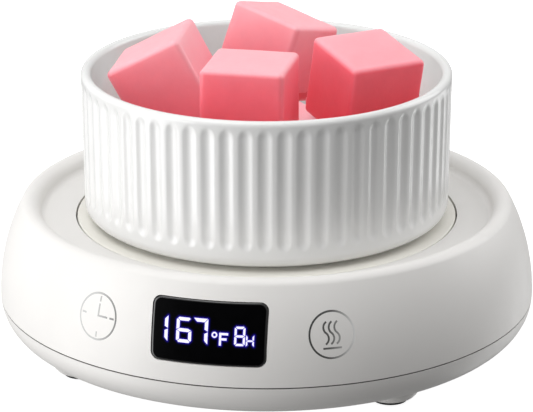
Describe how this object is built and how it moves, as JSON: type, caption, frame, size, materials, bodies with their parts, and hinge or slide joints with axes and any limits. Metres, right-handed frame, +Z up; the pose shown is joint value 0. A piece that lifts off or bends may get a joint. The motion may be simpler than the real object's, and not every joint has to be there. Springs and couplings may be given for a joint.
{
  "type": "plate wax warmer",
  "caption": "Round white electric wax warmer: a low base with a heating plate, display window and touch keys, carrying a lift-off fluted ceramic dish filled with wax cubes.",
  "frame": {"origin": "on the table, under the centre of the round base, level with the undersides of the rubber feet", "axes": "+Z up, the display faces -Y, +X to the right as seen from the front"},
  "size_m": [0.15, 0.15, 0.0885],
  "materials": {
    "housing": "satin",
    "feet": "matte",
    "steel": "satin",
    "plate": "satin",
    "silicone": "matte",
    "heater": "satin",
    "felt": "matte",
    "carrier": "matte",
    "sensor": "gloss",
    "fuse": "matte",
    "window": "gloss",
    "digits": "gloss",
    "black_plastic": "matte",
    "board": "satin",
    "foam": "matte",
    "foil": "polished",
    "contact": "polished",
    "chip": "matte",
    "capacitor": "satin",
    "connector": "satin",
    "grey_wire": "satin",
    "red_wire": "satin",
    "white_wire": "satin",
    "dish": "gloss",
    "wax": "satin"
  },
  "bodies": {
    "base": {"upper_housing": "housing", "lower_housing": "housing", "foot_pads": "feet", "housing_screws": "steel", "heating_plate": "plate", "plate_gasket": "silicone", "heater_film": "heater", "insulation_pad": "felt", "heater_carrier": "carrier", "carrier_screws": "steel", "temperature_sensor": "sensor", "sensor_clip": "steel", "thermal_fuse": "fuse", "display_window": "window", "display_digits": "digits", "display_frame": "black_plastic", "led_module": "black_plastic", "display_board": "board", "display_board_screws": "steel", "touch_pads": "foam", "timer_icon": "foil", "heat_icon": "foil", "main_board": "board", "main_board_screws": "steel", "dc_jack": "black_plastic", "jack_pin": "contact", "controller_chip": "chip", "filter_capacitors": "capacitor", "power_inductor": "chip", "power_transistor": "chip", "buzzer": "black_plastic", "lead_connectors": "connector", "display_leads": "grey_wire", "heater_leads": "red_wire", "sensor_leads": "white_wire"},
    "dish": {"wax_dish": "dish"},
    "lower_cubes": {"wax_cubes_lower": "wax"},
    "cube_front": {"wax_cube_front": "wax"},
    "cube_left": {"wax_cube_left": "wax"},
    "cube_back": {"wax_cube_back": "wax"},
    "cube_right": {"wax_cube_right": "wax"}
  },
  "joints": [
    {"name": "dish_lift", "type": "slide", "parent": "base", "child": "dish", "axis": [0, 0, 1], "range_m": [0, 0.06]},
    {"name": "lower_cubes_lift", "type": "slide", "parent": "dish", "child": "lower_cubes", "axis": [0, 0, 1], "range_m": [0, 0.045]},
    {"name": "cube_front_lift", "type": "slide", "parent": "lower_cubes", "child": "cube_front", "axis": [0, 0, 1], "range_m": [0, 0.035]},
    {"name": "cube_left_lift", "type": "slide", "parent": "lower_cubes", "child": "cube_left", "axis": [0, 0, 1], "range_m": [0, 0.035]},
    {"name": "cube_back_lift", "type": "slide", "parent": "lower_cubes", "child": "cube_back", "axis": [0, 0, 1], "range_m": [0, 0.035]},
    {"name": "cube_right_lift", "type": "slide", "parent": "lower_cubes", "child": "cube_right", "axis": [0, 0, 1], "range_m": [0, 0.035]}
  ]
}
